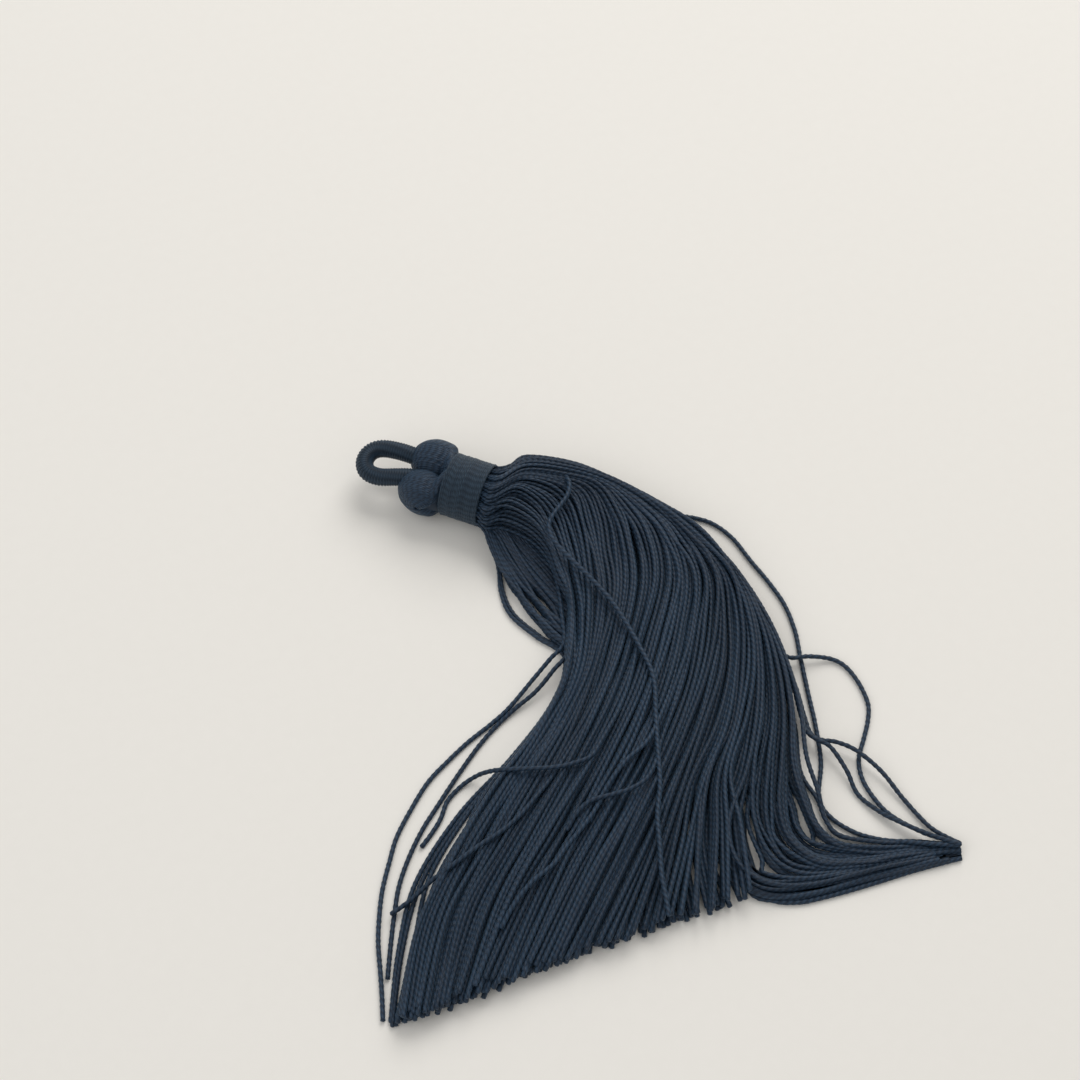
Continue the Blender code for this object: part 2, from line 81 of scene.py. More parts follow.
# Threads of the fringe.
THREAD_RADIUS = 0.225
PLIES = 2
PLY_DEPTH = 0.13  # share of the radius by which the plies swell
TWIST = 1.12  # mm of thread for one full turn
FINE_STEP = 0.24  # mm between the rings of a thread that shows whole
COARSE_STEP = 0.4  # and of one that hardly shows
FINE_EDGE = 6  # threads from each edge that show whole
THREAD_TONE = 0.5
TONE_SPREAD = 0.32
LOOSE_PAINTED_LIGHT = 0.3  # painted light: how much lighter the loose threads are painted than the same yarn in the bundle
LAYER_RISE = 0.47  # mm for each layer of height in a loose thread's path
ROOT_DEPTH = 1.6  # how far inside the binding the threads start
ROOT_RADIUS = 2.55
GOLDEN = (math.sqrt(5) - 1) / 2
BUNDLE_SHIFT = 0.35
SMALLEST = 0.66  # of the thread's size, where the binding squeezes it
NECK_FULL = 0.26  # how much further out than in the solids the threads reach where they leave the binding
PER_STRAND = 4  # threads that each strand of the solids stands for
STRAND_WIDTH = 0.3  # width of those threads at the neck, as a share of the bundle's radius

# Layers of the fringe from the floor up, with the solids' strands: name, strands, share of the width left
# bare at the left edge, and in the under course at the right edge too, and course.
LAYERS = (
    ("floor", 21, 0.0, "under"),
    ("second", 20, 0.03, "under"),
    ("third", 19, 0.0, "over"),
    ("fourth", 17, 0.015, "over"),
    ("top", 15, 0.03, "over"),
)
MIDDLE = 0.4  # share of the width at which the sections' middle points lie

# Sections across the fringe from the neck to the cut ends, much as in the solids: plan points on the left
# edge and the middle of the under course, the same of the over course, the right edge that both share,
# the bundle's lowest point and height, how far it has settled into layers, and the threads' size.
SECTIONS = (
    # name, under left, under middle, over left, over middle, right, low, height, settled, size
    ("neck", (-1.82, 42.48), (-0.5, 43.98), (-1.82, 42.48), (-0.5, 43.98), (1.48, 46.24),
     0.2, 5.15, 0.0, 0.44),
    ("flare", (-2.45, 40.9), (0.7, 42.3), (-1.1, 41.3), (1.6, 43.4), (3.6, 47.4), 0.1, 5.0, 0.3, 0.55),
    ("bend", (-2.5, 38.8), (1.7, 39.9), (0.0, 39.4), (3.6, 41.3), (7.3, 45.6), 0.0, 4.2, 0.65, 0.72),
    ("shoulder", (-2.3, 36.5), (2.8, 37.2), (1.0, 36.9), (5.1, 38.6), (10.3, 42.8), 0.0, 3.4, 1.0, 0.84),
    ("breast", (-1.7, 34.0), (3.8, 34.3), (1.4, 34.2), (5.9, 35.4), (13.2, 39.5), 0.0, 3.0, 1.0, 0.93),
    ("fold", (-0.9, 31.2), (5.2, 31.2), (1.3, 31.6), (6.8, 32.0), (15.6, 35.0), 0.0, 2.7, 1.0, 1.0),
    ("waist", (0.2, 28.2), (6.3, 27.9), (0.4, 28.6), (6.4, 28.4), (17.1, 30.2), 0.0, 2.5, 1.0, 1.0),
    ("belly", (-2.4, 24.4), (5.1, 24.2), (-2.4, 24.4), (5.1, 24.6), (17.8, 25.2), 0.0, 2.35, 1.0, 1.0),
    ("spread", (-7.2, 20.7), (1.9, 20.4), (-7.2, 20.7), (1.8, 20.7), (17.8, 20.4), 0.0, 2.35, 1.0, 1.0),
    ("skirt", (-12.3, 17.1), (-2.2, 16.4), (-12.3, 17.1), (-2.4, 16.6), (17.2, 15.6), 0.0, 2.35, 1.0, 1.0),
    ("hem", (-17.3, 12.6), (-5.7, 12.0), (-17.3, 12.6), (-6.0, 12.2), (15.9, 11.2), 0.0, 2.35, 1.0, 1.0),
    ("low", (-21.2, 7.5), (-9.3, 7.3), (-21.2, 7.5), (-9.6, 7.3), (16.3, 7.0), 0.0, 2.15, 1.0, 1.0),
    ("ends", (-24.4, 1.4), (-13.0, 1.9), (-24.4, 1.4), (-13.4, 1.2), (20.0, 1.4), 0.0, 1.75, 1.0, 1.0),
)
END_RAGGED = 0.13  # sections by which the shortest threads stop early

# Rails of the over course: plan points that its threads follow from the flare to the cut ends. They run
# along the fringe's upper edge and then sweep down to the left, one rail for each share of its width.
RAIL_SHARES = (0.0, 0.1, 0.22, 0.34, 0.5, 0.75, 0.9, 1.0)
RAILS = (
    ("flare", (-0.8, 41.7), (1.7, 45.0), (2.7, 46.2), (3.1, 46.6), (3.3, 46.9), (3.4, 47.1), (3.5, 47.3),
     (3.6, 47.4)),
    ("bend", (1.3, 39.8), (2.8, 42.7), (5.2, 44.6), (6.2, 45.0), (6.8, 45.3), (7.1, 45.4), (7.3, 45.5),
     (7.4, 45.6)),
    ("shoulder", (2.0, 37.4), (3.1, 40.1), (6.2, 42.3), (8.3, 42.7), (9.4, 42.8), (10.0, 42.8), (10.2, 42.8),
     (10.3, 42.8)),
    ("breast", (1.9, 34.7), (3.1, 37.2), (6.0, 39.3), (8.7, 39.7), (11.0, 39.8), (12.7, 39.4), (13.1, 39.3),
     (13.2, 39.3)),
    ("fold", (1.6, 31.9), (2.7, 34.0), (5.4, 35.9), (8.3, 36.6), (11.6, 36.4), (14.6, 35.4), (15.4, 35.1),
     (15.7, 35.1)),
    ("waist", (0.6, 29.0), (1.8, 30.3), (4.2, 31.8), (6.9, 32.2), (10.6, 31.9), (15.2, 30.8), (16.8, 30.3),
     (17.3, 30.2)),
    ("belly", (-1.8, 24.6), (-0.5, 25.4), (1.3, 26.1), (3.6, 26.8), (7.2, 26.8), (13.4, 26.2), (16.6, 25.7),
     (18.0, 25.2)),
    ("spread", (-6.4, 20.9), (-4.5, 21.4), (-2.2, 21.9), (0.0, 22.2), (3.8, 22.2), (10.7, 21.6), (15.0, 21.1),
     (18.0, 20.4)),
    ("skirt", (-11.3, 17.3), (-9.5, 17.3), (-7.2, 17.4), (-4.8, 17.5), (-0.7, 17.5), (7.1, 17.0), (12.5, 16.6),
     (17.4, 15.9)),
    ("hem", (-16.2, 12.8), (-14.5, 12.7), (-12.4, 12.6), (-10.0, 12.8), (-5.8, 12.8), (2.8, 12.5), (9.4, 12.3),
     (16.2, 11.6)),
    ("low", (-20.4, 7.8), (-18.9, 7.8), (-17.0, 7.8), (-15.0, 7.9), (-11.0, 8.0), (-1.8, 8.0), (8.2, 7.6),
     (15.0, 6.8)),
    ("ends", (-23.9, 1.3), (-22.7, 1.1), (-21.1, 1.0), (-19.7, 1.1), (-16.8, 1.3), (-8.6, 1.6), (6.6, 1.5),
     (16.0, 1.4)),
)

# From the hem on, both courses' threads near the right edge turn along the foot, in four bands: the height
# in layers to which each band rises at the toe, and the plan points of its middle.
FAN_SHARES = {"under": 0.78, "over": 0.9}  # the shares of each course's width past which threads turn
FAN_START = 10  # the hem's number among the sections
FAN_WIDTH = (1.2, 1.15, 1.1, 1.0, 0.8, 0.5, 0.2)  # half of each band's width at those points
FAN_RAGGED = 1.2  # sections by which the shortest of these threads stop early
FAN_FLAT = 0.6  # how far the layers sink together at the toe
FAN_DRIFT = 0.3  # how far threads change places in the fan, as a share of its width
FAN = (
    ("bottom", 0.0, (8.6, 11.6), (7.4, 8.2), (6.8, 5.0), (8.0, 2.6), (11.7, 1.3), (17.4, 0.7), (24.5, -0.2)),
    ("sole", 0.3, (10.8, 11.6), (10.0, 8.2), (9.6, 5.1), (10.8, 2.7), (14.2, 1.5), (19.0, 0.9), (24.6, 0.0)),
    ("instep", 0.6, (12.9, 11.4), (12.2, 8.3), (11.9, 5.7), (13.2, 3.5), (16.2, 2.2), (20.2, 1.3), (24.7, 0.1)),
    ("edge", 0.8, (15.4, 11.2), (14.9, 8.4), (14.7, 6.0), (15.5, 4.1), (18.2, 2.7), (21.4, 1.6), (24.7, 0.3)),
)

# Threads that bow out of the edge: layer, thread, first and last section, mm to the right.
BOWS = (
    ("left_wide", 0, 0, 2.0, 6.1, -1.1),
    ("left_wide_mate", 0, 1, 2.0, 6.1, -0.85),
    ("left_low", 0, 0, 7.6, 11.8, -1.5),
    ("left_low_mate", 0, 1, 7.6, 11.8, -1.0),
    ("left_low_near", 0, 2, 6.8, 11.6, -0.6),
    ("right_high", 1, -1, 4.2, 6.4, 0.9),
    ("right_low", 0, -3, 6.7, 8.9, 1.2),
    ("right_low_mate", 0, -5, 6.9, 8.7, 0.9),
)

# Narrow slits near the left edge, where the threads part: mm from the edge, first and last section, width.
SLITS = (
    ("bay", 0.3, 2.3, 5.6, 1.3),
    ("bay_second", 1.1, 3.0, 5.0, 1.1),
    ("bay_third", 2.0, 3.0, 5.2, 1.05),
    ("bay_fourth", 2.7, 4.0, 6.0, 1.0),
    ("side_high", 0.5, 6.9, 9.0, 1.1),
    ("side_high_inner", 1.4, 7.0, 9.0, 1.0),
    ("side", 0.6, 8.0, 10.4, 1.2),
    ("side_inner", 1.5, 8.0, 10.0, 1.0),
    ("side_third", 2.3, 8.0, 10.0, 0.9),
    ("side_low", 0.5, 9.3, 11.7, 1.1),
    ("side_low_inner", 1.3, 9.0, 11.0, 1.0),
)
SLIT_REACH = 0.45  # mm over which the threads beside a slit give way

# Threads that leave the bundle: layer and thread in it, the last section followed, and then plan points
# with their height in layers.
LOOSE = (
    ("right_long", 0, -1, 4, (
        (14.8, 38.9, 0), (16.5, 38.0, 0), (17.8, 36.8, 0), (18.8, 34.8, 0), (19.4, 32.0, 0), (20.0, 29.5, 0),
        (20.4, 26.8, 0), (20.2, 24.0, 0), (19.6, 21.5, 0), (18.8, 18.0, 0), (18.1, 14.8, 0), (17.1, 11.4, 0),
        (15.6, 8.4, 0), (15.8, 6.4, 0), (17.1, 4.5, 0), (18.8, 3.1, 0.4), (20.6, 2.1, 1.0), (22.4, 1.2, 1.3),
        (24.5, 0.3, 1.3))),
    ("right_ring", 1, -1, 7, (
        (17.8, 22.6, 1.2), (18.5, 21.4, 1.3), (20.2, 21.0, 1.0), (22.0, 20.3, 0.2), (22.9, 19.2, 0),
        (23.3, 17.3, 0), (23.2, 15.2, 0), (22.5, 13.7, 0), (21.5, 12.3, 0), (20.3, 10.7, 0), (19.8, 9.2, 0),
        (19.8, 7.5, 0), (20.4, 5.0, 0.5), (22.1, 2.6, 0.9), (23.7, 1.1, 1.3), (24.6, 0.3, 1.5))),
    ("right_arc", 2, -1, 8, (
        (17.8, 18.4, 1.4), (17.4, 15.8, 1.2), (17.2, 13.9, 1.4), (17.8, 13.0, 1.6), (18.9, 12.4, 1.6),
        (20.2, 11.1, 1.4), (21.4, 8.7, 1.0), (22.2, 5.8, 0.2), (23.1, 2.9, 0.2), (24.0, 1.3, 0.9),
        (24.7, 0.4, 1.3))),
    ("right_stem", 3, -1, 8, (
        (17.6, 18.6, 2.0), (17.1, 16.0, 1.8), (16.9, 14.2, 1.9), (17.3, 13.2, 2.0), (18.2, 12.1, 1.8),
        (18.7, 9.8, 0.9), (18.8, 7.6, 0), (19.8, 5.4, 0.5), (21.1, 3.6, 1.2), (22.6, 2.0, 1.5),
        (24.6, 0.2, 1.8))),
    ("left_outer", 2, 0, 5, (
        (0.5, 29.2, 2.2), (-1.1, 28.2, 1.9), (-3.1, 27.0, 1.1), (-6.0, 25.2, 0.3), (-8.2, 24.2, 0),
        (-10.4, 23.3, 0), (-12.7, 22.1, 0), (-14.7, 20.9, 0), (-16.7, 19.1, 0), (-18.7, 17.0, 0),
        (-20.0, 15.0, 0), (-21.3, 12.8, 0), (-22.3, 10.5, 0), (-23.0, 8.5, 0), (-23.6, 6.0, 0),
        (-24.1, 4.0, 0), (-24.6, 2.2, 0))),
    ("left_inner", 3, 0, 5, (
        (0.9, 28.4, 3.2), (-1.3, 26.9, 2.4), (-3.4, 25.7, 1.2), (-5.6, 24.9, 0.4), (-7.7, 23.9, 0),
        (-9.7, 22.6, 0), (-12.1, 20.7, 0), (-14.8, 18.4, 0), (-16.6, 16.8, 0), (-18.4, 14.8, 0),
        (-19.9, 12.7, 0), (-21.0, 10.5, 0), (-21.9, 8.5, 0), (-22.7, 6.6, 0), (-23.2, 5.4, 0))),
    ("left_curl", 4, 28, 8, (
        (1.9, 20.4, 4.9), (0.0, 18.6, 5.1), (-1.4, 17.4, 5.3), (-2.9, 17.2, 5.5), (-4.4, 17.3, 5.6),
        (-5.9, 17.7, 5.6), (-7.6, 18.3, 5.3), (-9.2, 19.1, 3.9), (-10.3, 19.7, 1.8), (-11.4, 19.8, 0.4), (-12.6, 19.4, 0),
        (-13.8, 18.6, 0), (-14.8, 17.3, 0), (-15.9, 16.3, 0), (-17.1, 15.4, 0))),
    ("left_cross", 4, 20, 9, (
        (-7.4, 15.2, 5.1), (-9.0, 14.2, 5.2), (-10.8, 13.4, 5.3), (-12.9, 12.8, 5.3), (-14.8, 12.2, 5.0),
        (-16.3, 11.8, 4.3), (-17.4, 11.6, 3.2), (-18.5, 11.3, 1.8), (-19.7, 10.9, 1.0), (-21.3, 10.4, 0.9))),
    ("long_cross", 4, 40, 1, (
        (5.6, 45.0, 7.1), (6.2, 43.6, 7.4), (5.6, 42.2, 7.6), (4.5, 41.2, 7.8), (3.4, 40.3, 7.9),
        (2.8, 39.5, 7.8), (2.7, 38.4, 7.5), (3.1, 37.0, 7.0), (4.5, 33.8, 6.1), (5.6, 30.5, 5.6),
        (6.2, 26.0, 5.2), (6.2, 22.6, 5.1), (5.0, 19.0, 5.1), (4.0, 16.0, 5.1), (3.0, 13.0, 5.1),
        (1.8, 10.5, 5.1), (1.0, 8.0, 5.1), (0.2, 5.5, 4.8), (-0.2, 3.5, 4.4), (-0.5, 2.1, 4.1))),
    ("short_high", 4, 37, 8, (
        (4.9, 18.5, 4.9), (3.3, 17.0, 5.3), (1.2, 16.0, 5.5), (-0.7, 14.7, 5.3), (-2.4, 13.2, 4.8),
        (-3.6, 12.0, 4.2))),
    ("short_cross", 4, 39, 9, (
        (3.6, 15.3, 4.9), (2.2, 13.9, 5.3), (0.6, 13.4, 5.5), (-0.9, 13.4, 5.5), (-2.9, 13.5, 5.4),
        (-4.4, 12.9, 5.0), (-5.6, 11.9, 4.2))),
    ("short_low", 4, 34, 10, (
        (-6.2, 10.4, 5.0), (-7.8, 9.2, 5.3), (-10.0, 8.3, 5.3), (-12.0, 7.0, 4.9), (-13.5, 5.6, 4.3))),
    ("foot", 0, -19, 11, (
        (7.2, 4.2, 0), (7.9, 1.6, 0), (10.0, 0.4, 0), (12.8, 0.0, 0), (16.4, -0.2, 0), (20.2, -0.3, 0),
        (24.4, -0.6, 0))),
    ("foot_inner", 0, -20, 11, (
        (6.6, 4.0, 0), (7.1, 2.0, 0), (9.2, 0.9, 0), (12.4, 0.4, 0), (16.2, 0.2, 0), (19.8, 0.0, 0),
        (22.6, -0.3, 0))),
)

# How far a thread wanders from its place.
WANDER = 0.16  # mm sideways
HEAVE = 0.12  # mm up or down
LIFT = 0.09  # mm by which whole threads lie higher or lower than their layer
WANDER_FROM = 2  # the last section at which it doesn't wander
EDGE_THREADS = 4  # threads at each edge that wander less
EDGE_CALM = 0.25  # and the share of it that they keep
SEED = 41


def placed(points):
    """Plan points and heights in mm as places in metres."""
    return (np.asarray(points, float)[..., :3] - PLAN_CENTRE) * MM


def neck_axes():
    """The neck's directions along, across and up, and where the binding starts, in plan mm."""
    forward = np.array((math.cos(NECK_ANGLE), math.sin(NECK_ANGLE), 0.0))
    across_neck = np.array((-forward[1], forward[0], 0.0))
    return forward, across_neck, np.array((0.0, 0.0, 1.0)), np.array((*NECK_START, NECK_HEIGHT))


def neck_point(along, side, rise):
    """A point given along the neck, to its side and above its axis."""
    forward, across_neck, up, start = neck_axes()
    return start + forward * along + across_neck * side + up * rise


def curve(before, start, end, after, t):
    """The place at share t of the way from start to end, on a smooth curve through all four points."""
    return 0.5 * (2 * start + (end - before) * t + (2 * before - 5 * start + 4 * end - after) * t ** 2
                  + (3 * start - before - 3 * end + after) * t ** 3)


def smooth_path(points, step):
    """Points a step apart on a smooth curve through the given ones. Columns past the third follow along."""
    points = np.array(points, float)
    padded = np.vstack((points[:1], points, points[-1:]))
    t = np.linspace(0, 1, 12, endpoint=False)[:, None]
    runs = [curve(*four, t) for four in zip(padded, padded[1:], padded[2:], padded[3:])]
    dense = np.vstack((*runs, points[-1:]))
    lengths = np.append(0, np.cumsum(np.linalg.norm(np.diff(dense[:, :3], axis=0), axis=1)))
    wanted = np.linspace(0, lengths[-1], max(3, round(lengths[-1] / step) + 1))
    return np.column_stack([np.interp(wanted, lengths, column) for column in dense.T])


def section_value(column, s):
    """A column of SECTIONS at a section number that may lie between two rows."""
    i = min(max(int(s), 0), len(SECTIONS) - 2)
    before, start, end, after = (
        np.array(SECTIONS[min(max(k, 0), len(SECTIONS) - 1)][column]) for k in (i - 1, i, i + 1, i + 2))
    if start.ndim == 0:
        return start + (end - start) * (s - i)
    return curve(before, start, end, after, s - i)


def across(s, share, course):
    """Plan point at a share of the fringe's width, through the section's left, middle and right."""
    first = 1 if course == "under" else 3
    left, middle, right = (section_value(column, s) for column in (first, first + 1, 5))
    return (left * (share - MIDDLE) * (share - 1) / MIDDLE
            + middle * share * (share - 1) / (MIDDLE * (MIDDLE - 1))
            + right * share * (share - MIDDLE) / (1 - MIDDLE))


def on_rails(s, share):
    """Plan point of the over course at a share of its width, at a section number past the neck."""
    k = min(int(np.searchsorted(RAIL_SHARES, share, side="right")), len(RAIL_SHARES) - 1)
    part = (share - RAIL_SHARES[k - 1]) / (RAIL_SHARES[k] - RAIL_SHARES[k - 1])
    row = min(max(s - 1, 0.0), len(RAILS) - 1.0)
    i = min(int(row), len(RAILS) - 2)
    start, end = (np.array(RAILS[n][k]) * (1 - part) + np.array(RAILS[n][k + 1]) * part for n in (i, i + 1))
    return start + (end - start) * (row - i)


def along_fan(s, part):
    """Plan point, and rise in layers, of a thread at a part of the fan's width, along the foot."""
    row = min(s - FAN_START, len(FAN_WIDTH) - 1.0)
    i = min(int(row), len(FAN_WIDTH) - 2)
    band = min(part, 0.999) * len(FAN)
    _, rise, *points = FAN[int(band)]
    start, end = np.array(points[i]), np.array(points[i + 1])
    forward = (end - start) / np.linalg.norm(end - start)
    width = FAN_WIDTH[i] + (FAN_WIDTH[i + 1] - FAN_WIDTH[i]) * (row - i)
    offset = np.array((-forward[1], forward[0])) * width * (2 * (band % 1) - 1)
    return start + (end - start) * (row - i) + offset, rise * row / (len(FAN_WIDTH) - 1)


def parted(point, s):
    """The point moved aside by the slits near the left edge."""
    distance = point[0] - section_value(1, s)[0]
    for _, slit, first, last, width in SLITS:
        if first < s < last:
            opened = width / 2 * math.sin(math.pi * (s - first) / (last - first)) ** 2
            aside = distance - slit
            point = point + np.array((math.copysign(opened * math.exp(-abs(aside) / SLIT_REACH), aside), 0))
    return point


def disc_share(area):
    """Place across a unit disc, -1 to 1, with the given share of the disc's area on its left."""
    low, high = -1.0, 1.0
    for _ in range(40):
        x = (low + high) / 2
        if (math.asin(x) + x * math.sqrt(1 - x * x)) / math.pi + 0.5 < area:
            low = x
        else:
            high = x
    return x


def thread_places():
    """Each thread's layer, its number there, and its place in the round bundle at the neck."""
    total = sum(count for _, count, _, _ in LAYERS)
    bundle = []
    for i in range(total):
        x = disc_share((i + 0.5) / total)
        height = ((i + BUNDLE_SHIFT) * GOLDEN) % 1 - 0.5
        bundle.append((x, 2 * height * math.sqrt(1 - x * x)))
    bundle.sort(key=lambda place: place[1])
    places = []
    for layer, (_, count, _, _) in enumerate(LAYERS):
        members, bundle = sorted(bundle[:count]), bundle[count:]
        for index, (x, z) in enumerate(members):
            for k in range(PER_STRAND):
                aside = (k + 0.5) / PER_STRAND - 0.5
                places.append((layer, PER_STRAND * index + k, x + STRAND_WIDTH * aside,
                               z + STRAND_WIDTH * (0.25 - abs(aside))))
    return places


def thread_share(place):
    """A thread's place across its layer, from 0 at the left to 1 at the right."""
    layer, index = place[:2]
    _, strands, bare, course = LAYERS[layer]
    bare_right = bare if course == "under" else 0.0
    return bare + (1 - bare - bare_right) * (index + 0.5) / (PER_STRAND * strands)


def bundle_point(place, s):
    """Where a thread that keeps its place in the fringe lies at section s: plan x and y, and height."""
    layer, index, x, z = place
    _, strands, _, course = LAYERS[layer]
    share, level = thread_share(place), layer
    low, height, settled = (section_value(column, s) for column in (6, 7, 8))
    full = 1 + NECK_FULL * max(0.0, 1 - s)
    round_point = across(s, (1 + x * full) / 2, course)
    round_height = low + height / 2 + (height / 2 - THREAD_RADIUS) * z * full
    turning = FAN_SHARES[course]
    if share > turning and s > FAN_START:
        along = (s - FAN_START) / (len(FAN_WIDTH) - 1)
        drift = FAN_DRIFT * ((index * GOLDEN) % 1 - 0.5) * along
        spread_point, rise = along_fan(s, min(max((share - turning) / (1 - turning) + drift, 0.0), 1.0))
        level = (level + rise) * (1 - FAN_FLAT * along)
    elif course == "over":
        spread_point = on_rails(s, share)
    else:
        spread_point = across(s, share, course)
    point = round_point + (spread_point - round_point) * math.sqrt(settled)
    for _, bow_layer, bow_index, first, last, sideways in BOWS:
        if (bow_layer, bow_index % (PER_STRAND * strands)) == (layer, index) and first < s < last:
            point = point + np.array((sideways * math.sin(math.pi * (s - first) / (last - first)) ** 2, 0))
    point = parted(point, s)
    layered = level * height / len(LAYERS) + THREAD_RADIUS
    return np.array((*point, round_height + (layered - round_height) * settled))


def wander(points, layer, calm, chance):
    """Lifts or lowers a thread and moves each section's point a little, as unevenly as real threads lie."""
    drift = np.zeros(2)
    if layer:
        points[1:, 2] += LIFT * chance.normal()
    for k in range(WANDER_FROM + 1, len(points)):
        drift = 0.45 * drift + chance.normal(0, 1, 2)
        along = points[k] - points[k - 1]
        sideways = np.array((-along[1], along[0])) / max(np.hypot(*along[:2]), 1e-6)
        points[k, :2] += sideways * WANDER * calm * drift[0] * min(1, (k - WANDER_FROM) / 3)
        if layer:
            points[k, 2] += HEAVE * drift[1] * min(1, (k - WANDER_FROM) / 3)
    return points


def thread_route(place, chance):
    """The control points of one thread, from inside the neck to its cut end, with its size at each."""
    layer, index, x, z = place
    count = PER_STRAND * LAYERS[layer][1]
    last, tail = len(SECTIONS) - 1 - END_RAGGED * chance.random(), []
    if thread_share(place) > FAN_SHARES[LAYERS[layer][3]]:
        last = FAN_START + len(FAN_WIDTH) - 1 - FAN_RAGGED * chance.random() ** 2
    for _, loose_layer, loose_index, leaves, points in LOOSE:
        if (loose_layer, loose_index % count) == (layer, index):
            last = leaves
            tail = [(*point[:2], point[2] * LAYER_RISE + THREAD_RADIUS, 1.0) for point in points]
    sections = [*range(math.ceil(last)), last]
    calm = EDGE_CALM if min(index, count - 1 - index) < EDGE_THREADS else 1.0
    route = wander(np.array([bundle_point(place, s) for s in sections]), layer, calm, chance)
    sizes = [max(SMALLEST, section_value(9, min(s, len(SECTIONS) - 1))) for s in sections]
    roots = [(*neck_point(along, x * ROOT_RADIUS, z * ROOT_RADIUS), SMALLEST)
             for along in (WRAP_LENGTH - ROOT_DEPTH, WRAP_LENGTH - 0.1)]
    return np.vstack((roots, np.column_stack((route, sizes)), *([tail] if tail else [])))


def unit(vectors):
    return vectors / np.maximum(np.linalg.norm(vectors, axis=-1, keepdims=True), 1e-12)


def tube(path, reference, radius, sides, tone, depth=0.0, turn=0.0):
    """One twisted thread as vertices, faces and its attributes. The path and radius are in metres, the
    reference is a direction that never lines up with the path, and turn is where in mm its twist starts."""
    tangent = unit(np.gradient(path, axis=0))
    side = unit(np.cross(tangent, reference))
    up = np.cross(side, tangent)
    length = np.append(0, np.cumsum(np.linalg.norm(np.diff(path, axis=0), axis=1))) / MM + turn
    angle = np.arange(sides) * 2 * math.pi / sides
    turned = angle[None, :] - 2 * math.pi * length[:, None] / TWIST
    swell = radius[:, None] * (1 - depth + depth * np.cos(PLIES * turned))
    rings = (path[:, None] + side[:, None] * (swell * np.cos(angle))[..., None]
             + up[:, None] * (swell * np.sin(angle))[..., None])
    verts = np.vstack((rings.reshape(-1, 3), path[:1] - tangent[:1] * radius[0] * 0.4,
                       path[-1:] + tangent[-1:] * radius[-1] * 0.4))
    count = len(path)
    ring, k = np.meshgrid(np.arange(count - 1), np.arange(sides), indexing="ij")
    beside = (k + 1) % sides
    quads = np.stack((ring * sides + k, ring * sides + beside,
                      (ring + 1) * sides + beside, (ring + 1) * sides + k), -1)
    first, end, start_tip, end_tip = np.arange(sides), (count - 1) * sides, count * sides, count * sides + 1
    caps = [(start_tip, int(b), int(a)) for a, b in zip(first, np.roll(first, -1))]
    caps += [(end_tip, int(end + a), int(end + b)) for a, b in zip(first, np.roll(first, -1))]
    lay = np.stack(np.broadcast_arrays(np.cos(angle), np.sin(angle), length[:, None]), -1)
    lay = np.vstack((lay.reshape(-1, 3), (0, 0, length[0]), (0, 0, length[-1])))
    tones = np.repeat(np.broadcast_to(tone, count), sides)
    return verts, quads.reshape(-1, 4), caps, lay, np.append(tones, (tones[0], tones[-1]))


def thread_piece(name, tubes, material, slot, *nodes):
    """Many threads as one mesh piece that stands for the given nodes."""
    verts, faces, lays, tones, start = [], [], [], [], 0
    for points, quads, caps, lay, tone in tubes:
        verts.append(points)
        faces += (quads + start).tolist() + [[i + start for i in cap] for cap in caps]
        lays.append(lay)
        tones.append(tone)
        start += len(points)
    mesh = bpy.data.meshes.new(name)
    mesh.from_pydata(np.vstack(verts).tolist(), [], faces)
    mesh.attributes.new("lay", "FLOAT_VECTOR", "POINT").data.foreach_set("vector", np.vstack(lays).ravel())
    mesh.attributes.new("tone", "FLOAT", "POINT").data.foreach_set("value", np.concatenate(tones))
    mesh.shade_smooth()
    mesh.update()
    return dressed(bpy.data.objects.new(name, mesh), material, slot, *nodes)


def dressed(piece, material, slot, *nodes):
    """Links a piece, gives it its material, hangs it on the root body and hides the parts of the solids that it
    replaces.
    """
    bpy.context.scene.collection.objects.link(piece)
    piece.data.materials.append(material)
    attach(piece, "root")
    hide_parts(*nodes)
    return piece


class Nodes:
    """Short calls for the nodes of one material."""

    def __init__(self, name):
        self.material = bpy.data.materials.new(name)
        self.material.use_nodes = True
        self.tree = self.material.node_tree
        self.shader = self.tree.nodes["Principled BSDF"]

    def add(self, kind, inputs=(), **settings):
        node = self.tree.nodes.new("ShaderNode" + kind)
        for key, value in settings.items():
            setattr(node, key, value)
        for socket, value in dict(inputs).items():
            self.set(node.inputs[socket], value)
        return node

    def set(self, socket, value):
        if isinstance(value, bpy.types.NodeSocket):
            self.tree.links.new(value, socket)
        else:
            socket.default_value = value

    def math(self, operation, a, b=0.0):
        return self.add("Math", {0: a, 1: b}, operation=operation).outputs[0]

    def mix(self, share, a, b):
        return self.add("Mix", {0: share, 6: a, 7: b}, data_type="RGBA").outputs[2]


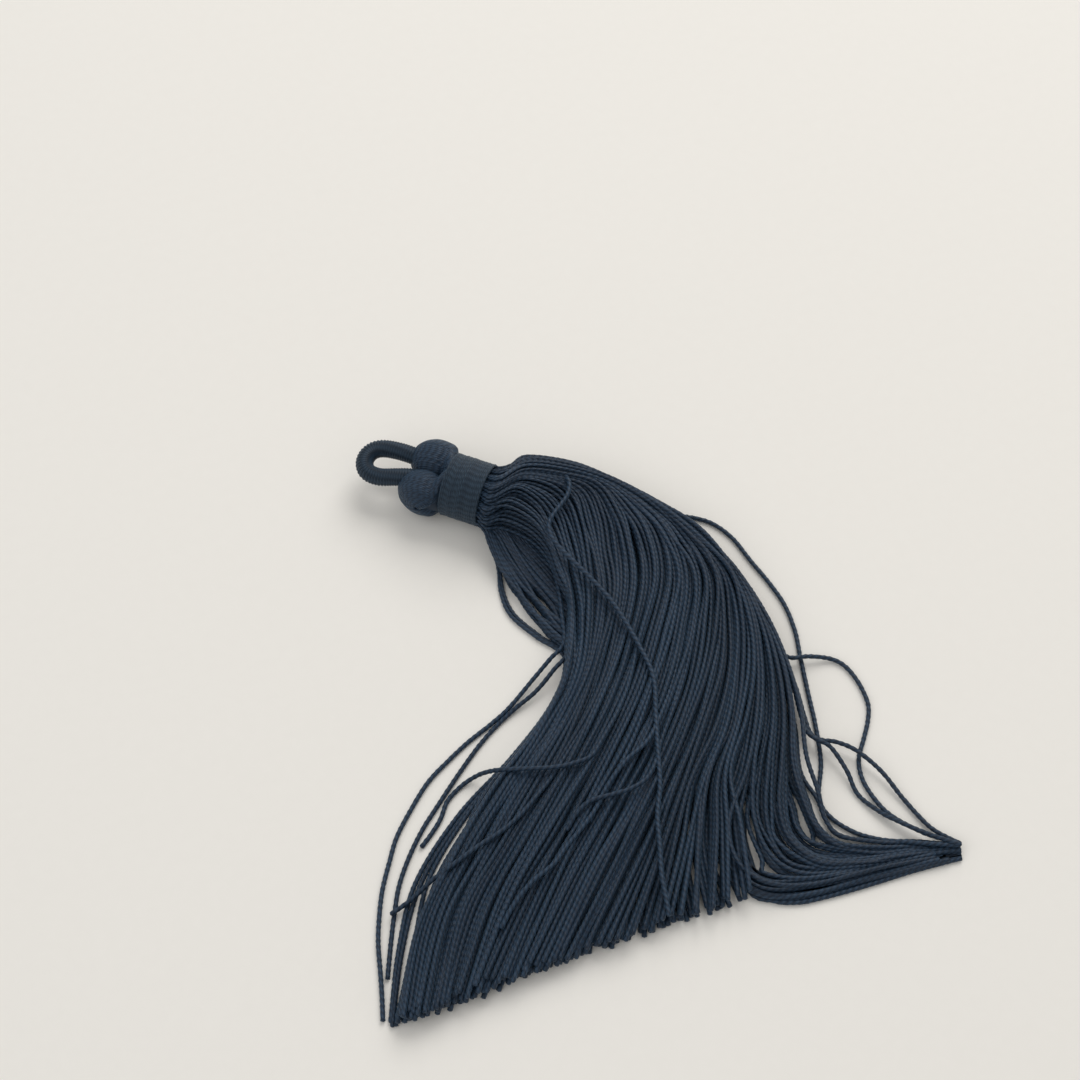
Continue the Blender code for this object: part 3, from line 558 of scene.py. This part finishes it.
def thread_material(name, painted_groove_shade, low, high, painted_crest_highlight, roughness, sheen):
    """Silky twisted yarn. Its colour lies between low and high by the thread's tone, with painted shade towards
    the groove colour in the hollow between the plies and a painted highlight towards the crest colour on their
    crests, and fine filaments follow the twist."""
    m = Nodes(name)
    lay = m.add("Attribute", attribute_name="lay")
    tone = m.add("Attribute", attribute_name="tone").outputs["Fac"]
    cosine, sine, length = m.add("SeparateXYZ", {0: lay.outputs["Vector"]}).outputs
    phase = m.math("MULTIPLY", length, 2 * math.pi / TWIST)
    phase_cosine, phase_sine = m.math("COSINE", phase), m.math("SINE", phase)
    turned_cosine = m.math("ADD", m.math("MULTIPLY", cosine, phase_cosine),
                           m.math("MULTIPLY", sine, phase_sine))
    turned_sine = m.math("SUBTRACT", m.math("MULTIPLY", sine, phase_cosine),
                         m.math("MULTIPLY", cosine, phase_sine))
    ply = m.math("SUBTRACT", m.math("MULTIPLY", turned_cosine, turned_cosine),
                 m.math("MULTIPLY", turned_sine, turned_sine))
    turned = m.add("CombineXYZ", {0: turned_cosine, 1: turned_sine, 2: length}).outputs[0]
    stretch = m.add("VectorMath", {0: turned, 1: (7.0, 7.0, 1.2)}, operation="MULTIPLY")
    filament = m.add("TexNoise", {"Vector": stretch.outputs[0], "Scale": 1.0, "Detail": 3.0, "Roughness": 0.6})
    place = m.add("TexCoord").outputs["Object"]
    patch = m.add("TexNoise", {"Vector": place, "Scale": 260.0, "Detail": 2.0})
    shade = m.math("ADD", tone, m.math("MULTIPLY", m.math("SUBTRACT", patch.outputs["Fac"], 0.5), 0.9))
    body = m.mix(m.add("Clamp", {0: shade}).outputs[0], low, high)
    # painted shade: the colour darkens towards the groove colour where the plies meet; a painted highlight
    # lightens it towards the crest colour on the ply crests
    groove_shade_share = m.add("MapRange", {0: ply, 1: 0.1, 2: -1.0, 3: 0.0, 4: 0.85}).outputs[0]
    crest_highlight_share = m.add("MapRange", {0: m.math("MULTIPLY", ply, filament.outputs["Fac"]), 1: 0.3, 2: 0.75,
                                3: 0.0, 4: 0.6}).outputs[0]
    m.set(m.shader.inputs["Base Color"], m.mix(crest_highlight_share, m.mix(groove_shade_share, body, painted_groove_shade), painted_crest_highlight))
    m.set(m.shader.inputs["Roughness"],
          m.add("MapRange", {0: filament.outputs["Fac"], 1: 0.3, 2: 0.7, 3: roughness - 0.08,
                             4: roughness + 0.1}).outputs[0])
    m.shader.inputs["Sheen Weight"].default_value = sheen
    m.shader.inputs["Sheen Roughness"].default_value = 0.4
    m.shader.inputs["Sheen Tint"].default_value = (0.45, 0.7, 0.95, 1.0)
    m.shader.inputs["Specular IOR Level"].default_value = 0.3
    raised = m.math("ADD", m.math("MULTIPLY", ply, 0.5), m.math("MULTIPLY", filament.outputs["Fac"], 0.6))
    bump = m.add("Bump", {"Height": raised, "Strength": 0.45, "Distance": 0.00008})
    m.set(m.shader.inputs["Normal"], bump.outputs[0])
    return m.material


def floor_material():
    """Plain pale board with a faint grain."""
    m = Nodes("pale_floor")
    grain = m.add("TexNoise", {"Vector": m.add("TexCoord").outputs["Object"], "Scale": 900.0, "Detail": 4.0})
    board = m.mix(grain.outputs["Fac"], (0.86, 0.84, 0.8, 1), (0.88, 0.86, 0.82, 1))
    m.set(m.shader.inputs["Base Color"], board)
    m.shader.inputs["Roughness"].default_value = 0.75
    m.shader.inputs["Specular IOR Level"].default_value = 0.2
    return m.material


def fringe(material):
    """One piece for each layer of the fringe, and one for the threads that leave it."""
    up = np.array((0.0, 0.0, 1.0))
    chance = np.random.default_rng(SEED)
    loose_keys = {(layer, index % (PER_STRAND * LAYERS[layer][1])) for _, layer, index, _, _ in LOOSE}
    layers, loose = {name: [] for name, _, _, _ in LAYERS}, []
    for place in thread_places():
        layer, index = place[:2]
        name, strands = LAYERS[layer][:2]
        is_loose = (layer, index) in loose_keys
        edge = min(index, PER_STRAND * strands - 1 - index) < FINE_EDGE
        fine = is_loose or edge or name == "top"
        path = smooth_path(thread_route(place, chance), FINE_STEP if fine else COARSE_STEP)
        path[:, 2] = np.maximum(path[:, 2], THREAD_RADIUS)
        # loose threads get painted light on top of their tone
        tone = THREAD_TONE + TONE_SPREAD * chance.normal() + (LOOSE_PAINTED_LIGHT if is_loose else 0.0)
        made = tube(placed(path), up, path[:, 3] * THREAD_RADIUS * MM, 8 if is_loose else 6, tone,
                    PLY_DEPTH if fine else 0.0, chance.uniform(0, TWIST))
        (loose if is_loose else layers[name]).append(made)
    for name, tubes in layers.items():
        thread_piece("fringe_" + name, tubes, material, "skein_thread", "skein")
    thread_piece("loose_threads", loose, material, "skein_thread", "skein")


def lobe_path(row, spread):
    """One folded thread of a lobe: out of the binding, over the lobe's far end and back under."""
    _, along, side, half_length, half_width, half_height, middle = row
    reach, sideways = math.cos(spread), math.sin(spread)
    held = GATHERED * (0.42 * math.copysign(1, side) + 0.53 * sideways)
    rise = math.sqrt(GATHERED ** 2 - held ** 2) * (0.45 + 0.55 * reach)
    first = max(math.acos(min(1.0, -(along + 0.45) / (half_length * reach))), 0.5) + 0.12
    turns = np.linspace(first, 2 * math.pi - first, LOBE_POINTS)
    points = [neck_point(0.6, held * 0.85, rise * 0.85), neck_point(-0.05, held, rise)]
    points += [neck_point(along + half_length * reach * math.cos(turn), side + half_width * sideways,
                          middle - NECK_HEIGHT + half_height * reach * math.sin(turn)) for turn in turns]
    return points + [neck_point(-0.05, held, -rise), neck_point(0.6, held * 0.85, -rise * 0.85)]


def head(material):
    """The folded threads of both lobes, over a smooth filling of the same thread."""
    chance = np.random.default_rng(SEED + 1)
    across_neck = neck_axes()[1]
    for row in LOBES:
        tubes = []
        for k in range(LOBE_THREADS):
            spread = LOBE_SPREAD * (2 * k / (LOBE_THREADS - 1) - 1)
            path = smooth_path(lobe_path(row, spread), 0.18)
            path[:, 2] = np.maximum(path[:, 2], LOBE_THREAD)
            radius = np.full(len(path), LOBE_THREAD * MM * chance.uniform(0.9, 1.1))
            tone = 0.75 + 0.2 * chance.normal()
            tubes.append(tube(placed(path), across_neck, radius, 6, tone, 0.0, chance.uniform(0, TWIST)))
        thread_piece("head_" + row[0], tubes, material, "skein_thread", "skein")
        filling(row, material)


def filling(row, material):
    """The inner threads of a lobe, which show only between the outer ones."""
    name, along, side, half_length, half_width, half_height, middle = row
    around = np.linspace(0, 2 * math.pi, 28, endpoint=False)
    mesh = bpy.data.meshes.new("head_filling_" + name)
    verts, faces = [], []
    for t in np.linspace(-0.98, 0.98, 15):
        size = math.sqrt(1 - t * t) * 0.92
        for turn in around:
            verts.append(neck_point(along + half_length * size * math.cos(turn), side + half_width * 0.92 * t,
                                    middle - NECK_HEIGHT + half_height * size * math.sin(turn)))
    n = len(around)
    for i in range(14):
        for k in range(n):
            faces.append((i * n + k, i * n + (k + 1) % n, (i + 1) * n + (k + 1) % n, (i + 1) * n + k))
    faces += [tuple(reversed(range(n))), tuple(range(14 * n, 15 * n))]
    mesh.from_pydata(placed(np.array(verts)).tolist(), [], faces)
    mesh.shade_smooth()
    dressed(bpy.data.objects.new("head_filling_" + name, mesh), material, "skein_thread", "skein")


def wrap(material):
    """The binding's fine turns as one wound thread."""
    turns = np.arange(WRAP_TURNS * WRAP_STEPS + 1) / WRAP_STEPS
    chance = np.random.default_rng(SEED + 2)
    uneven = np.interp(turns, np.arange(WRAP_TURNS + 2), chance.normal(0, 0.02, WRAP_TURNS + 2))
    radius = WRAP_RADIUS - WRAP_THREAD + uneven
    along = WRAP_THREAD + (WRAP_LENGTH - 2 * WRAP_THREAD) * turns / WRAP_TURNS
    angle = 2 * math.pi * turns
    path = np.array([neck_point(a, r * math.cos(t), r * math.sin(t))
                     for a, r, t in zip(along, radius, angle)])
    path[:, 2] = np.maximum(path[:, 2], WRAP_THREAD)
    thickness = np.full(len(path), WRAP_THREAD * MM)
    tone = np.interp(turns, np.arange(WRAP_TURNS + 2), chance.normal(0.5, 0.3, WRAP_TURNS + 2))
    tubes = [tube(placed(path), neck_axes()[0], thickness, 6, tone)]
    thread_piece("neck_wrap_turns", tubes, material, "wrap_thread", "neck_wrap")


def loop(material):
    """The loop's cord: a core with a thread wound closely round it."""
    route = smooth_path(LOOP_ROUTE, 0.02)
    tangent = unit(np.gradient(route, axis=0))
    side = unit(np.cross(tangent, (0.0, 0.0, 1.0)))
    up = np.cross(side, tangent)
    length = np.append(0, np.cumsum(np.linalg.norm(np.diff(route, axis=0), axis=1)))
    wound = np.linspace(0, length[-1], int(length[-1] / LOOP_PITCH * LOOP_STEPS))
    middle, sideways, rise = (np.column_stack([np.interp(wound, length, column) for column in rows.T])
                              for rows in (route, side, up))
    angle = (2 * math.pi * wound / LOOP_PITCH)[:, None]
    path = middle + (LOOP_RADIUS - LOOP_THREAD) * (sideways * np.cos(angle) + rise * np.sin(angle))
    along = np.column_stack([np.interp(wound, length, column) for column in tangent.T])
    thickness = np.full(len(path), LOOP_THREAD * MM)
    core = smooth_path(LOOP_ROUTE, 0.4)
    core_radius = np.full(len(core), (LOOP_RADIUS - LOOP_THREAD) * MM)
    tubes = [tube(placed(path), along, thickness, 6, 0.55),
             tube(placed(core), np.array((0.0, 0.0, 1.0)), core_radius, 12, 0.3)]
    thread_piece("loop_cord", tubes, material, "loop_thread", "hanging_loop")


def stage_and_light():
    """A pale floor, one broad soft light from the upper right and a faint one from the left."""
    half = FLOOR_SIZE / 2
    corners = [(-half, -half, 0), (half, -half, 0), (half, half, 0), (-half, half, 0)]
    mesh = bpy.data.meshes.new("floor")
    mesh.from_pydata(corners, [], [(0, 1, 2, 3)])
    floor = bpy.data.objects.new("floor", mesh)
    mesh.materials.append(floor_material())
    bpy.context.scene.collection.objects.link(floor)
    for name, place, size, power, colour in (
            ("key", (0.28, 0.34, 0.42), 0.45, 2.0, (1.0, 0.98, 0.95)),
            ("fill", (-0.4, -0.1, 0.45), 0.6, 0.9, (0.96, 0.98, 1.0))):
        data = bpy.data.lights.new(name, "AREA")
        data.size, data.energy, data.color = size, power, colour
        light = bpy.data.objects.new(name, data)
        light.location = place
        light.rotation_euler = (-Vector(place)).to_track_quat("-Z", "Y").to_euler()
        bpy.context.scene.collection.objects.link(light)
    world = bpy.data.worlds.new("room")
    world.use_nodes = True
    world.node_tree.nodes["Background"].inputs["Color"].default_value = (1.0, 0.985, 0.96, 1.0)
    world.node_tree.nodes["Background"].inputs["Strength"].default_value = 0.46
    bpy.context.scene.world = world
    bpy.context.scene.view_settings.view_transform = "Standard"


def camera():
    """The photo's view: above the cut ends and a little to the left, with a short telephoto lens."""
    azimuth, elevation, distance = math.radians(-19.811), math.radians(56.811), 0.19515
    target = Vector((0.0027, 0.014535, 0.0))
    back = Vector((math.sin(azimuth) * math.cos(elevation), -math.cos(azimuth) * math.cos(elevation),
                   math.sin(elevation)))
    data = bpy.data.cameras.new("camera")
    data.lens, data.sensor_width = 72.0, 36.0
    data.clip_start = 0.01
    seen = bpy.data.objects.new("camera", data)
    seen.location = target + back * distance
    seen.rotation_euler = back.to_track_quat("Z", "Y").to_euler()
    bpy.context.scene.collection.objects.link(seen)
    bpy.context.scene.camera = seen


camera()
stage_and_light()
# each material's first colour is the painted shade of the ply grooves and its fourth the painted highlight of
# the ply crests
skein_look = thread_material("skein_thread", (0.006, 0.013, 0.026, 1), (0.01, 0.023, 0.046, 1),
                             (0.018, 0.04, 0.075, 1), (0.04, 0.09, 0.16, 1), 0.45, 0.12)
wrap_look = thread_material("wrap_thread", (0.007, 0.016, 0.028, 1), (0.014, 0.029, 0.05, 1),
                            (0.023, 0.045, 0.072, 1), (0.045, 0.09, 0.14, 1), 0.5, 0.12)
loop_look = thread_material("loop_thread", (0.005, 0.012, 0.022, 1), (0.01, 0.023, 0.042, 1),
                            (0.016, 0.034, 0.058, 1), (0.035, 0.075, 0.12, 1), 0.5, 0.12)
fringe(skein_look)
head(skein_look)
wrap(wrap_look)
loop(loop_look)
